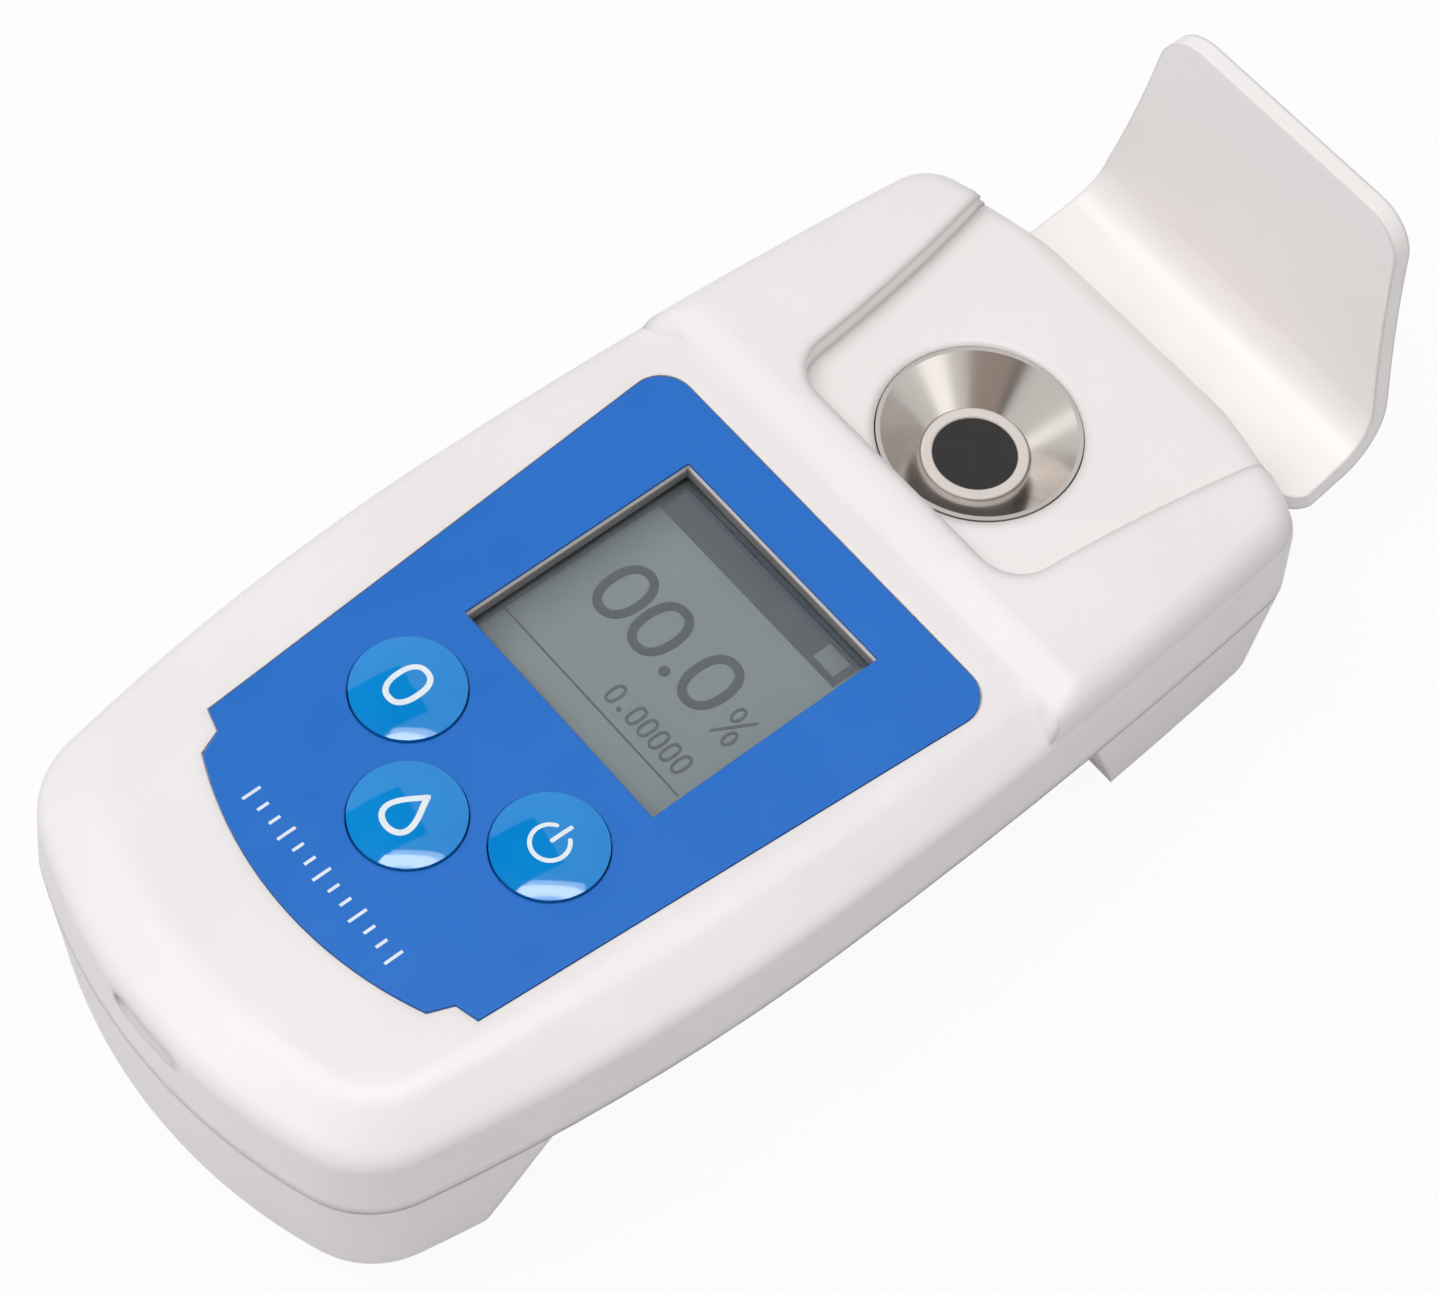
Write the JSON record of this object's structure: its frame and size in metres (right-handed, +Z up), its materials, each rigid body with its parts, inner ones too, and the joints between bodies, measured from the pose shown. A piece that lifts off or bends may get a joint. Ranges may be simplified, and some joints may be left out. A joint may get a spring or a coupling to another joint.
{
  "type": "digital brix refractometer",
  "caption": "Handheld digital brix refractometer with open lid, steel sample well, display window, domed keys and battery bay.",
  "frame": {"origin": "on the table, under the middle of the instrument's outer box with the lid standing open", "axes": "+X towards the power key side, +Y from the key end to the lid end, +Z up from the table"},
  "size_m": [0.068, 0.1513, 0.0493],
  "materials": {
    "shell_white": "fine satin",
    "shell_grey": "fine satin",
    "lid_white": "fine satin",
    "panel_blue": "satin film",
    "key_blue": "polished",
    "switch_black": "satin",
    "clear_glass": "polished",
    "lcd_glass": "polished",
    "light_guide": "frosted",
    "board_green": "solder mask",
    "screw_steel": "plated",
    "well_steel": "polished and satin",
    "seal_white": "satin",
    "prism_glass": "polished",
    "block_black": "matt",
    "lamp_clear": "clear",
    "cell_jacket": "wrapped",
    "contact_nickel": "plated",
    "pin_steel": "ground"
  },
  "bodies": {
    "body": {"upper_shell": "shell_white", "lower_shell": "shell_grey", "key_panel": "panel_blue", "zero_switch": "switch_black", "measure_switch": "switch_black", "power_switch": "switch_black", "display_lens": "clear_glass", "display_glass": "lcd_glass", "display_backlight": "light_guide", "display_frame": "shell_white", "main_board": "board_green", "board_screws": "screw_steel", "case_screws": "screw_steel", "sample_well": "well_steel", "prism_seal": "seal_white", "prism": "prism_glass", "optical_block": "block_black", "lamp": "lamp_clear", "sensor_board": "board_green", "light_sensor": "switch_black", "left_cell": "cell_jacket", "right_cell": "cell_jacket", "front_contacts": "contact_nickel", "rear_contacts": "contact_nickel", "hinge_pin": "pin_steel"},
    "lid": {"lid": "lid_white"},
    "battery_door": {"battery_door": "shell_grey"},
    "zero_key": {"zero_key": "key_blue"},
    "measure_key": {"measure_key": "key_blue"},
    "power_key": {"power_key": "key_blue"}
  },
  "joints": [
    {"name": "lid_hinge", "type": "hinge", "parent": "body", "child": "lid", "pos_m": [0, 0.06, 0.01525], "axis": [1, 0, 0], "range_deg": [0, 90]},
    {"name": "battery_door_hinge", "type": "hinge", "parent": "body", "child": "battery_door", "pos_m": [0, -0.03375, 0.006], "axis": [1, 0, 0], "range_deg": [-40, 0]},
    {"name": "zero_key_press", "type": "slide", "parent": "body", "child": "zero_key", "axis": [0, 0, -1], "range_m": [0, 0.0005], "stiffness_N_per_m": 600, "springref_m": -0.0004},
    {"name": "measure_key_press", "type": "slide", "parent": "body", "child": "measure_key", "axis": [0, 0, -1], "range_m": [0, 0.0005], "stiffness_N_per_m": 600, "springref_m": -0.0004},
    {"name": "power_key_press", "type": "slide", "parent": "body", "child": "power_key", "axis": [0, 0, -1], "range_m": [0, 0.0005], "stiffness_N_per_m": 600, "springref_m": -0.0004}
  ]
}
